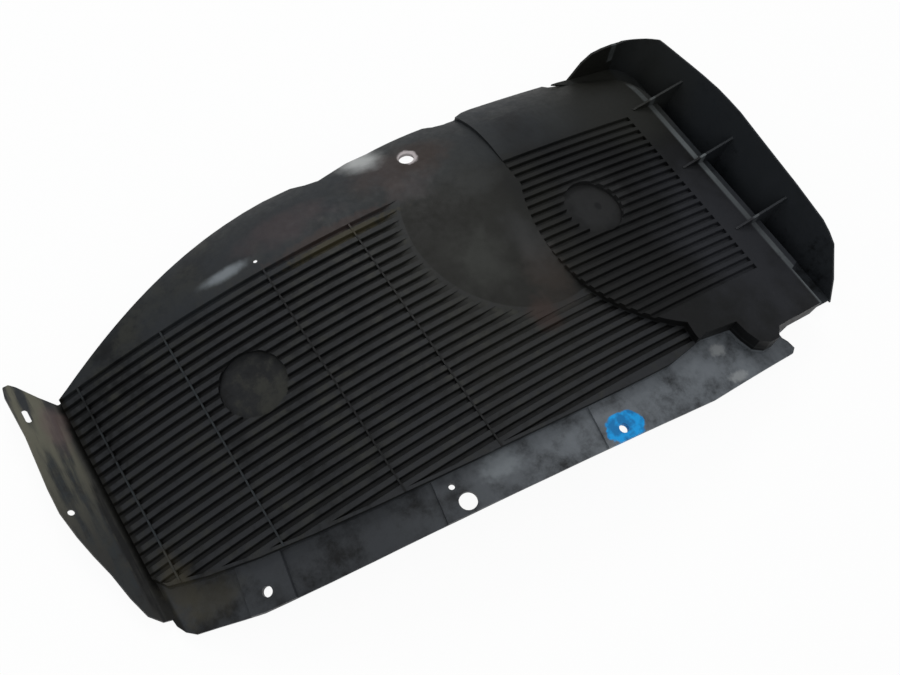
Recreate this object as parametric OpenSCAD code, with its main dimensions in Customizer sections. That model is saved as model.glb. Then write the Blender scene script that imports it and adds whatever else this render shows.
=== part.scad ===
// Wheel arch liner, a thin ribbed moulding that stands with its convex side up.
// X runs along the arch, Y across it towards the inner side, and all sizes are in millimetres.

/* [Arch] */
// Radius of the arch over its ridges
arch_r = 867; // [820:1:940]
// Distance from the crown of the arch to its left end
left_reach = 357; // [345:1:362]
// Thickness of the moulded sheet
sheet = 2.4; // [1.8:0.1:3]

/* [Ridges] */
// Distance from one groove to the next
ridge_pitch = 10; // [9:0.1:11]
// Number of grooves across the arch
groove_count = 26; // [20:1:26]
// Place of the groove beside the inner shoulder
first_groove_y = 10; // [8:0.5:11]
// Width of a groove at its mouth
groove_mouth = 5.4; // [4.8:0.1:5.6]
// Width of a groove at its floor
groove_floor = 3; // [2:0.1:3.4]
// Depth of a groove
groove_depth = 3.4; // [2.6:0.1:3.8]
// Thickness of a cross rib
cross_rib = 1.6; // [1:0.1:3]
// Height of a cross rib over the ridges
cross_rise = 0.6; // [0.3:0.1:1]
// Places of the cross ribs along the arch
cross_rib_x = [-339, -257, -154, -66]; // [-345:1:0]

/* [Inner shoulder] */
// Radius of the rounded inner shoulder
shoulder_r = 120; // [100:1:140]
// Angle through which the shoulder turns down
shoulder_turn = 40.5; // [38:0.5:44]
// Place where the shoulder starts
shoulder_y = 14; // [14:0.5:16]
// Radius of the hole in the shoulder
shoulder_hole_r = 7.5; // [5:0.5:9]

/* [Fastening strip] */
// Step from the ridges down to the fastening strip
strip_drop = 10; // [8:0.5:14]
// Height of the pads round the clip holes
pad_rise = 3; // [1.5:0.5:4]
// Radius of the two small clip holes
clip_hole_r = 4.5; // [3.5:0.25:5]
// Radius of the large middle hole
middle_hole_r = 8; // [6:0.25:9]
// Place of the right end of the strip
strip_end_x = 264; // [258:1:266]

/* [Wheel pocket] */
// Rise of the pocket over the arch at its round corner
pocket_rise = 8; // [6:0.5:11]
// Radius of the flatter arch over the pocket
pocket_arch_r = 2200; // [2000:10:2400]
// Radius of the round corner of the pocket in plan
pocket_corner_r = 148; // [144:1:150]
// Distance between the grooves on the pocket
pocket_pitch = 9.4; // [9:0.1:9.6]
// Number of grooves on the pocket
pocket_grooves = 23; // [18:1:23]
// Distance from the crown of the arch to the right end of the pocket
pocket_end_x = 321; // [315:1:325]
// Width of the smooth band at the right end of the pocket
end_band = 50; // [44:1:60]

/* [Smooth dome] */
// Rise of the ribless dome over the ridges
dome_rise = 10; // [8:0.5:12]
// Radius of the dome along the arch
dome_r = 317; // [300:1:340]
// Radius of the dome across the arch
dome_cross_r = 600; // [560:10:700]

/* [Round recesses] */
// Radius of the two round recesses
recess_r = 30.5; // [27:0.5:32]
// Depth of the recesses under the ridges
recess_depth = 6; // [4.5:0.5:8]

/* [Left flange] */
// Depth of the valley between the ridges and the flange
valley_depth = 10; // [8:0.5:12]
// Width of the valley floor
valley_w = 4; // [3:0.5:6]
// Lean of the left flange away from upright
flange_lean = 45; // [35:1:55]
// Width of the left flange over most of its length
flange_w = 45; // [40:1:50]

/* [Right end] */
// Width of the channel between the pocket and the end wall
channel_w = 23; // [19:1:26]
// Depth of the channel under the pocket
channel_depth = 18; // [14:1:20]
// Height of the end wall over the pocket
wall_h = 51.5; // [46:0.5:58]
// Height of a gusset where it meets the end wall
gusset_h = 26; // [20:1:32]
// Length of a gusset over the pocket
gusset_toe = 38; // [30:1:39]
// Distance between the gussets
gusset_pitch = 86; // [80:1:88]
// Number of gussets
gusset_count = 3; // [2:1:3]

/* [Hidden] */
$fn = 64;
sweep_fn = 360;
far = 400;
join = 0.4;

left_angle = asin(left_reach / arch_r);
strip_r = arch_r - strip_drop;
side_slope = (groove_mouth - groove_floor) / 2 / groove_depth;
comb_clear = 1.5;
rim_y = shoulder_y + shoulder_r * sin(shoulder_turn);
rim_drop = shoulder_r * (1 - cos(shoulder_turn));
side_wall_y = 82;
wall_corner = 28;

// The flatter arch of the pocket runs level with the main arch over this place
pocket_level_x = 98;
pocket_level_angle = asin(pocket_level_x / arch_r);
pocket_axis_drop = arch_r + pocket_rise - pocket_arch_r;
pocket_axis = [pocket_axis_drop * sin(pocket_level_angle), pocket_axis_drop * cos(pocket_level_angle) - arch_r];
pocket_end_angle = asin((pocket_end_x - pocket_axis[0]) / pocket_arch_r);
pocket_end_z = pocket_axis[1] + pocket_arch_r * cos(pocket_end_angle);
pocket_corner = [231, -100];

dome_x = 70;
dome_y = -45;
dome_angle = asin(dome_x / arch_r);
dome_axis_drop = arch_r + dome_rise - dome_r;
dome_axis = [dome_axis_drop * sin(dome_angle), dome_axis_drop * cos(dome_angle) - arch_r];

// The left edge and the foot of the end wall both touch the ground after this small turn
left_foot_x = -left_reach - valley_w;
left_foot_z = sqrt((strip_r - sheet) * (strip_r - sheet) - left_foot_x * left_foot_x) - arch_r;
right_foot_x = pocket_end_x + (channel_w + sheet) * cos(pocket_end_angle);
right_foot_z = pocket_end_z - (channel_w + sheet) * sin(pocket_end_angle)
    - (channel_depth + sheet) * cos(pocket_end_angle);
rest_turn = atan2(right_foot_z - left_foot_z, right_foot_x - left_foot_x);
stand_height = left_foot_x * sin(rest_turn) - left_foot_z * cos(rest_turn);
centre_x = -21.84;
centre_y = 103.29;

function bezier(a, b, c, d, n) = [
    for (i = [0:n]) let (t = i / n, u = 1 - t)
        a * u * u * u + 3 * b * u * u * t + 3 * c * u * t * t + d * t * t * t
];

function reversed(points) = [for (i = [len(points) - 1:-1:0]) points[i]];

// Section points are [radius, -y], because each section is revolved and then laid on its side
function groove(r, y) = [
    [r + comb_clear, -(y - groove_mouth / 2 - comb_clear * side_slope)],
    [r - groove_depth, -(y - groove_floor / 2)],
    [r - groove_depth, -(y + groove_floor / 2)],
    [r + comb_clear, -(y + groove_mouth / 2 + comb_clear * side_slope)]
];

// A comb that hangs over the surface, with one tooth for each groove
function comb(r, first_y, pitch, count) = concat(
    [[r + 8, -(first_y + 6)], [r + 8, -(first_y - (count - 1) * pitch - 6)]],
    [for (i = [count - 1:-1:0]) each groove(r, first_y - i * pitch)]
);

function shoulder(r, inset, turn) = [
    for (a = [0:turn / 11:turn + 0.01])
        [r - shoulder_r + (shoulder_r - inset) * cos(a), -(shoulder_y + (shoulder_r - inset) * sin(a))]
];

function smooth_section(r, deep) = concat(
    [[r - deep, 340], [r, 340]],
    shoulder(r, 0, shoulder_turn + 3),
    [[r - deep, -(shoulder_y + shoulder_r * sin(shoulder_turn + 3))]]
);

// The underside lies one sheet under the groove floors, and one sheet under the shoulder
function under_section(r, deep) = concat(
    [[r - deep, 342], [r - groove_depth - sheet, 342], [r - groove_depth - sheet, -shoulder_y + 5]],
    shoulder(r, sheet, shoulder_turn + 9),
    [[r - deep, -(shoulder_y + (shoulder_r - sheet) * sin(shoulder_turn + 9))]]
);

// Drop of the dome's cross section under its crown, which levels off and follows the shoulder beyond shoulder_y
function dome_drop(y) = let (reach = shoulder_y - dome_y)
    y <= shoulder_y ? (y - dome_y) * (y - dome_y) / 2 / dome_cross_r
    : reach * reach / 2 / dome_cross_r
        + reach / dome_cross_r * (y < shoulder_y + 30 ? (y - shoulder_y) * (1 - (y - shoulder_y) / 60) : 15)
        + shoulder_r - sqrt(shoulder_r * shoulder_r - (y - shoulder_y) * (y - shoulder_y));

// Lower edge of the ribbed panel in plan, from the left end to the right end
function lower_edge(inset) = concat(
    bezier(
        [-left_reach - 20, -155 + inset], [-left_reach - 17, -231 + inset],
        [117, -256 + inset], [120, -251 + inset], 14
    ),
    [
        [164, -244 + inset], [202 + inset, -248 + inset], [204 + inset, -262 + inset],
        [209 + inset, -275 + inset], [220, -281 + inset], [232, -281 + inset],
        [242, -271 + inset], [far, -270 + inset]
    ]
);

// Outer edge of the fastening strip in plan
strip_edge = [
    [-left_reach - 1, -205], [-left_reach, -213.5], [-left_reach + 4, -222], [-left_reach + 11, -229],
    [-left_reach + 30, -235.5], [-left_reach + 47, -241.5], [-left_reach + 64, -247],
    [max(-274, -left_reach + 83), -250.5], [-238, -256.5], [-200, -262], [-123, -272],
    [-42, -281.5], [26, -288.5], [100, -295.5], [137, -298.5], [strip_end_x - 7, -295.5],
    [strip_end_x, -291.5], [strip_end_x - 1.5, -283], [strip_end_x - 5, -277]
];

// Edge of the inner shoulder in plan, with its two shallow nicks
function rim_edge(out) = concat(
    bezier([-left_reach - 6, 10.5 + out], [-300, 38 + out], [-200, rim_y - 4 + out], [-113, rim_y + out], 12),
    [
        [-84, rim_y - 2 + out], [-72, rim_y - 9 + out], [-59, rim_y - 12.5 + out], [-41, rim_y - 8.5 + out],
        [-23, rim_y - 4 + out], [11, rim_y - 3 + out], [66, rim_y - 3.5 + out], [74, rim_y - 9 + out],
        [86, rim_y - 11 + out], [100, rim_y - 9.5 + out], [115, rim_y - 2 + out], [128, rim_y + out],
        [far, rim_y + out]
    ]
);

// Round corner of the pocket in plan, from the inner shoulder down to the strip
function pocket_edge(inset) = concat(
    [[104 + inset, 160], [102 + inset, 20]],
    [for (a = [151:4:239]) pocket_corner + (pocket_corner_r - inset) * [cos(a), sin(a)]],
    [[153 + inset, -240], [153 + inset, -far]]
);

// Edge of the pocket at its right end, in the frame of that end, with its rounded inner corner
function end_edge(inset) = concat(
    [[-12 - inset, -226], [-inset, -222]],
    bezier([-inset, 5], [-inset, 50 - inset], [-14, 72 - inset], [-60, 74 - inset], 8),
    [[-90, 84 - inset]]
);

function wall_edge(out) = concat(
    [[-80, side_wall_y + out]],
    [for (a = [90:-9:0]) [
        channel_w - wall_corner + (wall_corner + out) * cos(a),
        side_wall_y - wall_corner + (wall_corner + out) * sin(a)
    ]]
);

module sweep_about(axis, from_angle, to_angle) {
    translate([axis[0], 0, axis[1]]) rotate([90, 0, 0]) rotate([0, 0, 90 - to_angle])
        rotate_extrude(angle = to_angle - from_angle, $fn = sweep_fn) children();
}

module main_sweep(from_angle, to_angle) {
    sweep_about([0, -arch_r], from_angle, to_angle) children();
}

module pocket_sweep() {
    sweep_about(pocket_axis, 4.5, 15) children();
}

module plan_prism() {
    translate([0, 0, -far]) linear_extrude(2 * far) children();
}

// Frame on the arch surface over a plan position, with Z along the surface normal
module on_arch(x, y) {
    a = asin(x / arch_r);
    translate([x, y, arch_r * cos(a) - arch_r]) rotate([0, a, 0]) children();
}

module on_pocket(x, y) {
    a = asin((x - pocket_axis[0]) / pocket_arch_r);
    translate([x, y, pocket_axis[1] + pocket_arch_r * cos(a)]) rotate([0, a, 0]) children();
}

// Frame on the curved shoulder, with Z along the normal there
module on_shoulder(x, y) {
    turn = asin((y - shoulder_y) / shoulder_r);
    on_arch(x, y) translate([0, 0, shoulder_r * (cos(turn) - 1)]) rotate([-turn, 0, 0]) children();
}

// Frame at the right end of the pocket, with X pointing off the end
module at_right_end() {
    translate([pocket_end_x, 0, pocket_end_z]) rotate([0, pocket_end_angle, 0]) children();
}

// Frame at the left end of the arch, with X pointing back along the arch
module at_left_end() {
    translate([-left_reach, 0, arch_r * cos(left_angle) - arch_r]) rotate([0, -left_angle, 0]) children();
}

module panel_prism(inset, out) {
    plan_prism() polygon(concat(
        [[-left_reach + inset, lower_edge(inset)[1][1]], [-left_reach + inset, 13.5 + out]],
        [for (i = [1:len(rim_edge(out)) - 1]) rim_edge(out)[i]],
        reversed([for (i = [2:len(lower_edge(inset)) - 1]) lower_edge(inset)[i]])
    ));
}

// All that lies beyond the right end of the pocket
module end_waste(inset) {
    at_right_end() translate([0, 0, -320]) linear_extrude(520) polygon(concat(
        [[far, -far], [far, far - 50], [-92, far - 50]], reversed(end_edge(inset)), [[-12 - inset, -far]]
    ));
}

module ribbed_arch() {
    difference() {
        main_sweep(-left_angle - 3, 11.5) polygon(smooth_section(arch_r, 60));
        intersection() {
            main_sweep(-left_angle - 5, 12)
                polygon(comb(arch_r, first_groove_y, ridge_pitch, groove_count));
            plan_prism() polygon(concat(
                [[-far, 60], [-far, -170]],
                [for (i = [1:14]) lower_edge(3)[i]],
                [[190, -247], [190, 60]]
            ));
        }
    }
}

module ribbed_pocket() {
    difference() {
        pocket_sweep() polygon(smooth_section(pocket_arch_r, 60));
        intersection() {
            pocket_sweep() polygon(comb(pocket_arch_r, 0, pocket_pitch, pocket_grooves));
            plan_prism() polygon([
                [40, 60], [40, -238], [100, -234], [159, -231], [270, -212],
                [pocket_end_x - end_band, -210], [pocket_end_x - end_band, 60]
            ]);
        }
    }
}

module pocket_prism(inset) {
    plan_prism() polygon(concat(pocket_edge(inset), [[far * 2, -far], [far * 2, 160]]));
}

module dome_body(inset, deep) {
    rows = 24;
    from_y = -215;
    to_y = 112;
    sweep_about(dome_axis, dome_angle - 26, dome_angle + 26) polygon(concat(
        [for (i = [0:rows]) let (y = from_y + (to_y - from_y) * i / rows)
            [dome_r - inset - dome_drop(y), -y]],
        [[dome_r - deep, -to_y], [dome_r - deep, -from_y]]
    ));
}

module cross_ribs() {
    for (x = cross_rib_x)
        on_arch(x, 0) translate([-cross_rib / 2, -250, -8])
            cube([cross_rib, 250 + first_groove_y + 2, 8 + cross_rise]);
}

module strip_area() {
    plan_prism() polygon(concat(
        [[-left_reach - valley_w, 15], [-left_reach - valley_w, -196]],
        strip_edge,
        [[strip_end_x - 5, -240], [100, -150], [-200, -120], [-320, 15]]
    ));
}

// A pad round a clip hole, level over its flat length and fading out after it
module pad(x, flat, fade) {
    on_arch(x, 0) translate([0, -250, -strip_drop]) rotate([0, 0, -10]) translate([0, 90, 0])
        rotate([90, 0, 0]) linear_extrude(160) polygon([
        [0, -8], [0, pad_rise], [flat, pad_rise - flat * flat / 2 / arch_r],
        [flat + fade, -0.4 - (flat + fade) * (flat + fade) / 2 / arch_r], [flat + fade, -10]
    ]);
}

module strip_body() {
    intersection() {
        union() {
            main_sweep(-left_angle - 4, 21)
                polygon([[arch_r - 60, 345], [strip_r, 345], [strip_r, -40], [arch_r - 60, -40]]);
            pad(-308, 40, 1);
            pad(-135, 40, 12);
            pad(22, 38, 16);
        }
        strip_area();
    }
}

module recess_at(r, depth) {
    on_arch(-212.4, -77.2) translate([0, 0, -depth]) cylinder(r = r, h = 60);
    on_pocket(156, -80) translate([0, 0, -depth]) cylinder(r = r, h = 60);
}

module outer_form() {
    difference() {
        intersection() {
            union() {
                ribbed_arch();
                cross_ribs();
                difference() {
                    dome_body(0, 60);
                    pocket_prism(0);
                }
                difference() {
                    intersection() {
                        ribbed_pocket();
                        pocket_prism(0);
                    }
                    end_waste(0);
                }
            }
            panel_prism(0, 0);
        }
        recess_at(recess_r, recess_depth);
    }
    strip_body();
}

module inner_form() {
    difference() {
        intersection() {
            union() {
                main_sweep(-left_angle - 3.5, 11.8) polygon(under_section(arch_r, 140));
                difference() {
                    dome_body(sheet * 1.3, 130);
                    pocket_prism(-sheet);
                }
                difference() {
                    intersection() {
                        pocket_sweep() polygon(under_section(pocket_arch_r, 150));
                        pocket_prism(sheet);
                    }
                    end_waste(sheet);
                }
            }
            panel_prism(sheet, 30);
        }
        recess_at(recess_r + sheet, recess_depth + sheet);
    }
    main_sweep(-left_angle - 6, 28) polygon([
        [arch_r - 170, 350], [strip_r - sheet, 350], [strip_r - sheet, -58], [arch_r - 170, -58]
    ]);
    at_right_end() {
        translate([0, 0, -far - channel_depth - sheet]) linear_extrude(far)
            polygon([[far, -far], [far, far], [-76, far], [-76, 40], [-50, 40], [-50, -far]]);
        translate([-105, 60, -far - rim_drop - 3]) cube([40, 60, far]);
    }
}

module left_flange() {
    at_left_end() translate([-valley_w, 0, -valley_depth - sheet]) rotate([0, -flange_lean, 0])
        rotate([90, 0, 90]) linear_extrude(sheet) polygon([
            [12, -1], [14, 6], [27, 18], [43, 31], [47, 36], [46, 41], [36, 43],
            [-6, flange_w - 3], [-60, flange_w], [-84, flange_w], [-109, flange_w - 4],
            [-130, flange_w - 9], [-151, flange_w - 15], [-176, 25], [-196, 19], [-206, 10], [-208, -1]
        ]);
}

module end_wall() {
    foot = -channel_depth - sheet;
    intersection() {
        translate([0, 0, foot]) linear_extrude(200) polygon(concat(
            wall_edge(sheet), [[channel_w + sheet, -276], [channel_w, -276]], reversed(wall_edge(0))
        ));
        translate([-200, 0, 0]) rotate([90, 0, 90]) linear_extrude(far) polygon([
            [95, foot - 5], [95, 21.5], [85, 21.5], [72, wall_h - 20.5], [60, wall_h - 13],
            [37, wall_h - 9.5], [14, wall_h - 6], [-7, wall_h - 3], [-30, wall_h - 0.5], [-47, wall_h],
            [-66, wall_h], [-97.5, wall_h - 2.8], [-130, wall_h - 5.5], [-161, wall_h - 8],
            [-206, wall_h - 13], [-219, wall_h - 17], [-231, wall_h - 22.5], [-239, wall_h - 31.5],
            [-256, 1], [-270, foot], [-272, foot - 5]
        ]);
        translate([0, far, 0]) rotate([90, 0, 0]) linear_extrude(2 * far) polygon([
            [-68, foot - 5], [-64.4, foot], [-62, -14], [-56, 3], [-47, 13.7], [-34.5, 18], [-20, 20.4],
            [-8, 21], [4, 24], [40, wall_h + 28], [40, foot - 5]
        ]);
    }
}

module channel_floor() {
    translate([0, 0, -channel_depth - sheet]) linear_extrude(sheet) polygon(concat(
        [[-sheet + join, -268]], [[channel_w + join, -268]], reversed(wall_edge(join)),
        reversed(end_edge(sheet - join))
    ));
}

module gussets() {
    for (i = [0:gusset_count - 1])
        translate([0, 9 - i * gusset_pitch + sheet / 2, 0]) rotate([90, 0, 0]) linear_extrude(sheet) polygon([
            [-gusset_toe, -1.2], [-gusset_toe, 0.3], [channel_w + join, gusset_h],
            [channel_w + join, -channel_depth - join], [-1, -channel_depth - join], [-1, -1.2]
        ]);
}

module holes() {
    on_arch(-286.8, -234) cylinder(r = clip_hole_r, h = 60, center = true);
    on_arch(-114.2, -262.6) cylinder(r = middle_hole_r, h = 60, center = true);
    on_arch(38.9, -279.4) cylinder(r = clip_hole_r, h = 60, center = true);
    on_arch(-119.4, -245.3) cylinder(r = 2.8, h = 60, center = true);
    on_shoulder(22, 51) cylinder(r = shoulder_hole_r, h = 60, center = true);
    on_arch(-156, 24) cylinder(r = 2, h = 30, center = true);
    at_left_end() translate([-valley_w, 0, -valley_depth - sheet]) rotate([0, -flange_lean, 0]) {
        translate([0, 7.7, 33.5]) rotate([0, 90, 0]) cylinder(r = 2.6, h = 20, center = true);
        translate([0, 16.6, 33.5]) rotate([0, 90, 0]) cylinder(r = 2.6, h = 20, center = true);
        translate([-10, 7.7, 30.9]) cube([20, 8.9, 5.2]);
        translate([0, -87.4, 36.5]) rotate([0, 90, 0]) cylinder(r = 3, h = 20, center = true);
    }
}

module liner() {
    color([0.16, 0.17, 0.17])
    translate([-centre_x, centre_y, stand_height]) rotate([0, rest_turn, 0]) difference() {
        union() {
            difference() {
                outer_form();
                inner_form();
            }
            left_flange();
            at_right_end() {
                end_wall();
                channel_floor();
                gussets();
            }
        }
        holes();
    }
}

liner();
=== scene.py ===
# Wheel arch liner in black polypropylene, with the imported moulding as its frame
import math

import bmesh
import bpy
from mathutils import Matrix, Vector


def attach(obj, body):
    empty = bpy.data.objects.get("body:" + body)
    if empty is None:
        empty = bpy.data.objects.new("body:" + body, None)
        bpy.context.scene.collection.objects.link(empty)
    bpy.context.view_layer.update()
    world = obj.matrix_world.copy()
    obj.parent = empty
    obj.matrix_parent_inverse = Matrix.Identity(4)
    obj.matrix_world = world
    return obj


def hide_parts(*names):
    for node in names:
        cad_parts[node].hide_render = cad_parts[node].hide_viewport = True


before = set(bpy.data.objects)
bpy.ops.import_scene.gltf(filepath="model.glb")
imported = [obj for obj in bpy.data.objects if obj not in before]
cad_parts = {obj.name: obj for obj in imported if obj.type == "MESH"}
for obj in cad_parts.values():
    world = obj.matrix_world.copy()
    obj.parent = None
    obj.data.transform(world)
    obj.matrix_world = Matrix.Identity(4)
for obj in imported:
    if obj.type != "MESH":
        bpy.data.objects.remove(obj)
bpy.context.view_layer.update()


# sRGB hex to the linear colour that shader sockets take
def linearColour(hexText):
    values = [int(hexText[i:i + 2], 16) / 255 for i in (1, 3, 5)]
    linear = [v / 12.92 if v <= 0.04045 else ((v + 0.055) / 1.055) ** 2.4 for v in values]
    return linear + [1.0]


# Adds one node, with its settings and with values or links for its inputs
def addNode(tree, kind, settings=None, inputs=None):
    node = tree.nodes.new("ShaderNode" + kind)
    for name, value in (settings or {}).items():
        setattr(node, name, value)
    for key, value in (inputs or {}).items():
        if isinstance(value, bpy.types.NodeSocket):
            tree.links.new(value, node.inputs[key])
        else:
            node.inputs[key].default_value = value
    return node


def newMaterial(name):
    material = bpy.data.materials.new(name)
    material.use_nodes = True
    material.node_tree.nodes.clear()
    return material


# The moulding: where its surfaces lie, its colours and its marks. Lengths are metres unless said
liner = {
    "smoothAngle": 24,  # degrees between facets that still belong to one curved surface
    "mergeWithin": 0.00001, "dropBelow": 0.000005,
    # a point on the axis that each grooved surface turns about, and its radius at the ridges' tops
    "arch": ((-0.01806, 0.0, -0.7904), 0.867),
    "pocket": ((-0.2283, 0.0, -2.0986), 2.2),

    "ior": 1.49,
    "specular": 0.25,  # dust and grease take half of clean plastic's shine
    "roughness": (0.42, 0.7), "roughnessMottle": (0.7, 1.3),
    "grainSize": 0.9,  # mm, spark-eroded mould grain, drawn coarser than real so that it shows
    "grainDepth": 0.0003, "grainStrength": 0.12,
    "patterns": {  # size in mm, detail, roughness
        "cloud": (110, 5.0, 0.6),  # broad change of tone
        "blotch": (7, 6.0, 0.65),  # dried splashes
        "patch": (34, 8.0, 0.7),  # dried mud
        "streak": (9, 5.0, 0.6),  # across the run marks that water left along the flange
    },
    "streakShare": 0.13,  # a run mark's width as a share of its length

    # the groove and crest colours on the next line carry painted shade in the grooves and a painted
    # highlight on the ridge tops
    "black": "#0f1010", "worn": "#17181a", "grimeAndShade": "#070707", "crestWearAndHighlight": "#232426",
    "mud": "#2a2a25", "damp": "#090909",
    # the pale chafe colour on the next line carries a painted highlight along the channel's edge
    "ribDust": "#24282a", "shoulderDust": "#232629", "channelDirt": "#1e2124", "wornEdgeHighlight": "#575b5c",
    "stripDust": "#313336", "stripPale": "#666a6e",  # thin film, and the pale one on the right half
    # the valley colour on the next line is painted shade
    "flangeDust": "#2b2a27", "flangePale": "#5b594c", "valleyShade": "#0c0b07",

    # Films of dust and dirt, and of painted shade and painted highlight, from the lowest to the
    # topmost:
    # colour and smooth steps. A film lies where all its steps are up: what is measured, where the
    # step starts, where it is up. The arch and the pocket are measured upwards from the ridges'
    # tops, and mottle is cloud plus blotch.
    "films": [
        ("worn", [("cloud", 0.35, 0.7)]),
        ("mud", [("patch", 0.46, 0.62)]),
        ("damp", [("patch", 0.47, 0.36)]),
        # tops of the ridges: worn crests, lightened as a painted highlight
        ("crestWearAndHighlight", [("arch", -0.0006, -0.0002), ("arch", 0.001, 0.0006), ("mottle", 0.75, 1.2)]),
        ("crestWearAndHighlight", [("pocket", -0.0006, -0.0002), ("pocket", 0.001, 0.0006),
                   ("x", 0.1225, 0.1235), ("mottle", 0.75, 1.2)]),
        # floors of the grooves: grime, darkened as painted shade
        ("grimeAndShade", [("arch", -0.0008, -0.0016), ("arch", -0.005, -0.0045), ("y", 0.118, 0.114)]),
        ("grimeAndShade", [("pocket", -0.0008, -0.0016), ("pocket", -0.005, -0.0045),
                   ("arch", 0.004, 0.0045), ("x", 0.1225, 0.1235), ("y", 0.112, 0.108)]),
        # what stands above the ridges: dark from the middle on, dusty cross ribs at the left
        ("grimeAndShade", [("arch", 0.0002, 0.0005), ("x", -0.21, -0.15)]),
        ("ribDust", [("arch", 0.0002, 0.0005), ("x", -0.15, -0.21), ("mottle", 0.8, 1.15)]),
        ("shoulderDust", [("y", 0.095, 0.125), ("x", 0.26, 0.2), ("cloud", 0.3, 0.62)]),
        ("stripDust", [("arch", -0.0045, -0.006), ("y", -0.06, -0.08),
                       ("x", -0.338, -0.333), ("patch", 0.3, 0.6)]),
        ("stripPale", [("arch", -0.0045, -0.006), ("y", -0.06, -0.08),
                       ("x", -0.17, 0.06), ("patch", 0.24, 0.64)]),
        # right end, and the edge of its channel: worn, with a painted highlight along it
        ("channelDirt", [("x", 0.3335, 0.336), ("mottle", 0.6, 1.0)]),
        ("wornEdgeHighlight", [("x", 0.3255, 0.3285), ("x", 0.335, 0.333),
                    ("z", 0.024, 0.027), ("mottle", 0.6, 1.0)]),
        # flange, and painted shade in the valley along its foot
        ("flangeDust", [("x", -0.338, -0.344), ("streak", 0.38, 0.66)]),
        ("flangePale", [("x", -0.343, -0.35), ("y", -0.04, 0.11), ("streak", 0.36, 0.6)]),
        ("valleyShade", [("x", -0.345, -0.342), ("x", -0.333, -0.336)]),
    ],

    # Marks on top of the films: centre, radii, how torn and how soft the edge is, size of its tears
    # in mm, colour, strength
    "stainDetail": 4.0,
    "stains": [
        # dried mud on the dome
        ((0.050, 0.050, 0.080), (0.090, 0.140, 0.08), 1.6, 1.2, 33.33, "#313027", 0.25),
        ((0.088, -0.022, 0.075), (0.016, 0.034, 0.03), 1.8, 1.3, 16.67, "#302823", 0.65),
        ((0.062, -0.052, 0.073), (0.012, 0.014, 0.03), 1.6, 1.3, 12.5, "#352620", 0.65),
        # rubbed pale on the dome and the shoulder
        ((0.040, 0.022, 0.081), (0.020, 0.026, 0.03), 2.2, 1.7, 16.67, "#343531", 0.60),
        ((0.090, 0.018, 0.078), (0.014, 0.026, 0.03), 2.0, 1.7, 16.67, "#323232", 0.60),
        ((0.084, 0.098, 0.079), (0.024, 0.016, 0.03), 2.2, 1.7, 16.67, "#303130", 0.50),
        ((0.029, 0.123, 0.077), (0.020, 0.014, 0.03), 1.8, 1.5, 16.67, "#3f3939", 0.55),
        # dust on the pocket and in its recess
        ((0.290, 0.150, 0.030), (0.090, 0.070, 0.08), 0.9, 0.9, 71.43, "#24241f", 0.55),
        ((0.290, -0.070, 0.040), (0.060, 0.090, 0.08), 1.6, 1.2, 29.41, "#2b2c31", 0.55),
        ((0.185, 0.030, 0.057), (0.032, 0.032, 0.02), 1.4, 0.8, 11.11, "#242424", 0.60),
        # rust from the bolts
        ((0.030, 0.150, 0.068), (0.045, 0.022, 0.04), 1.6, 1.2, 16.67, "#3e322e", 0.55),
        ((-0.060, 0.1175, 0.075), (0.055, 0.0055, 0.05), 1.8, 1.0, 5.556, "#3c2e29", 0.50),
        ((-0.055, 0.1065, 0.074), (0.050, 0.0050, 0.05), 1.8, 1.0, 5.556, "#3e3822", 0.60),
        ((-0.095, 0.146, 0.067), (0.040, 0.016, 0.03), 1.7, 1.2, 16.67, "#3a3031", 0.60),
        # dirt on the flange and on the panel's lower left corner
        ((-0.352, 0.096, 0.010), (0.009, 0.022, 0.02), 1.2, 1.1, 14.29, "#5b4c49", 0.60),
        ((-0.322, -0.085, 0.013), (0.012, 0.026, 0.02), 1.6, 1.1, 12.5, "#3b3628", 0.60),
        ((-0.300, -0.108, 0.012), (0.024, 0.016, 0.02), 1.6, 1.1, 12.5, "#353228", 0.60),
        # painted highlight beside the first groove, and a painted glare on the rim
        ((-0.163, 0.1315, 0.0635), (0.019, 0.0050, 0.02), 1.0, 1.3, 11.11, "#848a8e", 0.65),
        ((0.0075, 0.1830, 0.0565), (0.017, 0.016, 0.02), 0.8, 1.5, 11.11, "#a7a8a6", 0.90),
        # rust beside the shoulder's hole, and a pale ring round it
        ((0.0560, 0.1520, 0.0700), (0.022, 0.018, 0.03), 1.4, 1.1, 9.091, "#2a1f19", 0.65),
        ((0.0455, 0.1560, 0.0675), (0.0092, 0.0108, 0.02), 0.4, 0.3, 6.25, "#b6adac", 0.90),
        # scuffs on the strip
        ((-0.0521, -0.1475, 0.0659), (0.016, 0.010, 0.01), 1.6, 1.1, 8.333, "#7a7f82", 0.60),
        ((0.1969, -0.1553, 0.0391), (0.008, 0.006, 0.01), 1.5, 0.9, 5, "#8e9090", 0.70),
        ((0.1977, -0.1868, 0.0389), (0.010, 0.005, 0.01), 1.5, 0.9, 5, "#8e9090", 0.70),
        # dark spot in the pocket's recess
        ((0.1848, 0.0241, 0.0561), (0.0035, 0.0045, 0.01), 0.6, 0.6, 11.11, "#080809", 0.95),
        # paint that was brushed on round the right clip hole
        ((0.061, -0.176, 0.066), (0.019, 0.0155, 0.03), 0.75, 0.12, 11.11, "paint", 1.0),
    ],
    "paint": "#1397dc", "paintDeep": "#1071ac",
    "brushSize": 7.692, "brushSteps": (0.42, 0.6),  # mm, and where the paint goes from deep to full
}


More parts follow.
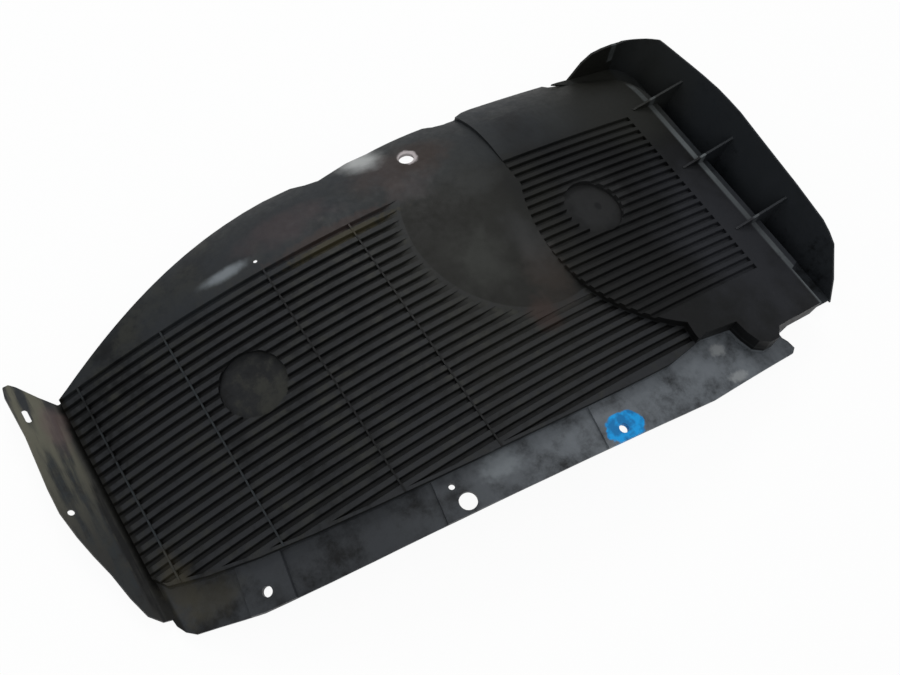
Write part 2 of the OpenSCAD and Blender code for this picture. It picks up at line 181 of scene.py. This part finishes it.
# Flat faces meet in sharp edges, and the facets of a curve in smooth ones
def shadeByAngle(mesh):
    bm = bmesh.new()
    bm.from_mesh(mesh)
    bmesh.ops.remove_doubles(bm, verts=bm.verts, dist=liner["mergeWithin"])
    bmesh.ops.dissolve_degenerate(bm, dist=liner["dropBelow"], edges=bm.edges)
    for face in bm.faces:
        face.smooth = True
    limit = math.radians(liner["smoothAngle"])
    for edge in bm.edges:
        edge.smooth = len(edge.link_faces) == 2 and edge.calc_face_angle(0) < limit
    bm.to_mesh(mesh)
    bm.free()


# Injection moulded polypropylene: grey-black with a soft sheen, dust where it lies flat and
# stains where it was wet, painted shade in its grooves and valleys, painted highlight on its
# crests, edges and shoulder
def mouldedPolypropylene():
    material = newMaterial("moulded black polypropylene")
    tree = material.node_tree
    place = addNode(tree, "TexCoord").outputs["Object"]
    axes = addNode(tree, "SeparateXYZ", {}, {0: place}).outputs
    measures = {"x": axes["X"], "y": axes["Y"], "z": axes["Z"]}
    tops = {}
    for surface in ("arch", "pocket"):
        axis, tops[surface] = liner[surface]
        fromAxis = addNode(tree, "VectorMath", {"operation": "SUBTRACT"}, {0: place, 1: axis})
        across = addNode(tree, "VectorMath", {"operation": "MULTIPLY"},
                         {0: fromAxis.outputs[0], 1: (1, 0, 1)})
        radius = addNode(tree, "VectorMath", {"operation": "LENGTH"}, {0: across.outputs[0]})
        measures[surface] = radius.outputs["Value"]

    drawn = addNode(tree, "Mapping", {}, {"Vector": place, "Scale": (1, liner["streakShare"], 1)})
    for pattern, (size, detail, roughness) in liner["patterns"].items():
        vector = drawn.outputs[0] if pattern == "streak" else place
        noise = addNode(tree, "TexNoise", {}, {
            "Vector": vector, "Scale": 1000 / size, "Detail": detail, "Roughness": roughness})
        measures[pattern] = noise.outputs["Fac"]
    mottle = addNode(tree, "Math", {"operation": "ADD"},
                     {0: measures["cloud"], 1: measures["blotch"]}).outputs[0]
    measures["mottle"] = mottle

    colour = linearColour(liner["black"])
    for film, steps in liner["films"]:
        cover = 1.0
        for measure, start, end in steps:
            top = tops.get(measure, 0)
            step = addNode(tree, "MapRange", {"interpolation_type": "SMOOTHSTEP"}, {
                "Value": measures[measure], "From Min": top + start, "From Max": top + end})
            cover = addNode(tree, "Math", {"operation": "MULTIPLY"},
                            {0: step.outputs[0], 1: cover}).outputs[0]
        colour = addNode(tree, "Mix", {"data_type": "RGBA"}, {
            0: cover, 6: colour, 7: linearColour(liner[film])}).outputs[2]

    brushed = addNode(tree, "TexNoise", {}, {"Vector": place, "Scale": 1000 / liner["brushSize"]})
    full = addNode(tree, "MapRange", {}, {
        "Value": brushed.outputs["Fac"],
        "From Min": liner["brushSteps"][0], "From Max": liner["brushSteps"][1]})
    paint = addNode(tree, "Mix", {"data_type": "RGBA"}, {
        0: full.outputs[0], 6: linearColour(liner["paintDeep"]),
        7: linearColour(liner["paint"])}).outputs[2]

    for centre, radii, torn, soft, size, tint, strength in liner["stains"]:
        moved = addNode(tree, "VectorMath", {"operation": "SUBTRACT"}, {0: place, 1: centre})
        scaled = addNode(tree, "VectorMath", {"operation": "DIVIDE"},
                         {0: moved.outputs[0], 1: radii})
        far = addNode(tree, "VectorMath", {"operation": "LENGTH"}, {0: scaled.outputs[0]})
        wave = addNode(tree, "TexNoise", {}, {
            "Vector": place, "Scale": 1000 / size, "Detail": liner["stainDetail"]})
        reach = addNode(tree, "Math", {"operation": "MULTIPLY_ADD"},
                        {0: wave.outputs["Fac"], 1: torn, 2: far.outputs["Value"]})
        cover = addNode(tree, "MapRange", {"interpolation_type": "SMOOTHSTEP"}, {
            "Value": reach.outputs[0], "From Min": 1 + (torn + soft) / 2,
            "From Max": 1 + (torn - soft) / 2, "To Max": strength}).outputs[0]
        tone = paint if tint == "paint" else linearColour(tint)
        colour = addNode(tree, "Mix", {"data_type": "RGBA"},
                         {0: cover, 6: colour, 7: tone}).outputs[2]

    dull = addNode(tree, "MapRange", {}, {
        "Value": mottle,
        "From Min": liner["roughnessMottle"][0], "From Max": liner["roughnessMottle"][1],
        "To Min": liner["roughness"][0], "To Max": liner["roughness"][1]})
    grain = addNode(tree, "TexNoise", {}, {"Vector": place, "Scale": 1000 / liner["grainSize"]})
    bump = addNode(tree, "Bump", {}, {
        "Strength": liner["grainStrength"], "Distance": liner["grainDepth"],
        "Height": grain.outputs["Fac"]})
    shader = addNode(tree, "BsdfPrincipled", {}, {
        "Base Color": colour, "Roughness": dull.outputs[0], "IOR": liner["ior"],
        "Specular IOR Level": liner["specular"], "Normal": bump.outputs["Normal"]})
    addNode(tree, "OutputMaterial", {}, {"Surface": shader.outputs["BSDF"]})
    return material


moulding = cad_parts["liner"].copy()
moulding.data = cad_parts["liner"].data.copy()
moulding.name = "moulding"
for key in list(moulding.keys()):  # the frame's own notes don't belong on the copy
    del moulding[key]
bpy.context.scene.collection.objects.link(moulding)
moulding.parent = None
moulding.matrix_world = Matrix.Identity(4)
shadeByAngle(moulding.data)
moulding.data.materials.clear()
moulding.data.materials.append(mouldedPolypropylene())
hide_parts("liner")
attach(moulding, "root")
print("moulding dressed")

# The floor, the light and the camera
studio = {
    "floor": "#f4f4f2", "floorSize": 8.0,
    "floorLevel": -0.0005,  # just under the part, so that the two faces don't flicker
    "floorWhite": 0.94,  # share of plain white that the camera and reflections see
    "worldColour": (0.9, 0.95, 1.0, 1), "worldStrength": 0.42,
    "lamps": [  # name, place, size, watts
        ("window", (0.4, 1.5, 1.5), 0.9, 14),
        ("fill", (-1.4, -0.8, 1.2), 1.8, 9.8),
        ("top", (0.7, -0.3, 2.1), 1.8, 10.5),
    ],
    "cameraPlace": (-0.29789, -0.31081, 0.84741), "lens": 39.39, "sensor": 36, "clipStart": 0.01,
    "forward": (0.31358, 0.32510, -0.89218), "up": (0.45461, 0.77350, 0.44165),
}


def floorMaterial():
    material = newMaterial("pale paper floor")
    tree = material.node_tree
    paper = addNode(tree, "BsdfDiffuse", {}, {"Color": linearColour(studio["floor"])})
    white = addNode(tree, "Emission", {}, {"Color": (1, 1, 1, 1), "Strength": 1.0})
    ray = addNode(tree, "LightPath").outputs
    seen = addNode(tree, "Math", {"operation": "MAXIMUM"},
                   {0: ray["Is Camera Ray"], 1: ray["Is Glossy Ray"]})
    seen = addNode(tree, "Math", {"operation": "MAXIMUM"},
                   {0: seen.outputs[0], 1: ray["Is Transmission Ray"]})
    share = addNode(tree, "Math", {"operation": "MULTIPLY"},
                    {0: seen.outputs[0], 1: studio["floorWhite"]})
    mixed = addNode(tree, "MixShader", {},
                    {0: share.outputs[0], 1: paper.outputs[0], 2: white.outputs[0]})
    addNode(tree, "OutputMaterial", {}, {"Surface": mixed.outputs[0]})
    return material


bm = bmesh.new()
bmesh.ops.create_grid(bm, x_segments=1, y_segments=1, size=studio["floorSize"] / 2)
floorMesh = bpy.data.meshes.new("floor")
bm.to_mesh(floorMesh)
bm.free()
floor = bpy.data.objects.new("floor", floorMesh)
floor.location.z = studio["floorLevel"]
floorMesh.materials.append(floorMaterial())
bpy.context.scene.collection.objects.link(floor)

for name, place, size, watts in studio["lamps"]:
    data = bpy.data.lights.new(name, "AREA")
    data.energy = watts
    data.size = size
    lamp = bpy.data.objects.new(name, data)
    lamp.location = place
    lamp.rotation_euler = (-Vector(place)).to_track_quat("-Z", "Y").to_euler()
    bpy.context.scene.collection.objects.link(lamp)

world = bpy.data.worlds.new("studio")
bpy.context.scene.world = world
world.use_nodes = True
sky = world.node_tree
sky.nodes.clear()
ray = addNode(sky, "LightPath").outputs
seen = addNode(sky, "Math", {"operation": "MAXIMUM"},
               {0: ray["Is Camera Ray"], 1: ray["Is Transmission Ray"]})
soft = addNode(sky, "Background", {}, {
    "Color": studio["worldColour"], "Strength": studio["worldStrength"]})
plain = addNode(sky, "Background", {}, {"Color": (1, 1, 1, 1), "Strength": 1.0})
both = addNode(sky, "MixShader", {}, {0: seen.outputs[0], 1: soft.outputs[0], 2: plain.outputs[0]})
addNode(sky, "OutputWorld", {}, {"Surface": both.outputs[0]})
print("stage set")

cameraData = bpy.data.cameras.new("camera")
cameraData.sensor_width = studio["sensor"]
cameraData.lens = studio["lens"]
cameraData.clip_start = studio["clipStart"]
camera = bpy.data.objects.new("camera", cameraData)
forward = Vector(studio["forward"]).normalized()
right = forward.cross(Vector(studio["up"])).normalized()
up = right.cross(forward)
turn = Matrix((right, up, -forward)).transposed().to_4x4()
camera.matrix_world = Matrix.Translation(studio["cameraPlace"]) @ turn
bpy.context.scene.collection.objects.link(camera)
bpy.context.scene.camera = camera
bpy.context.scene.view_settings.view_transform = "Standard"
print("camera placed")
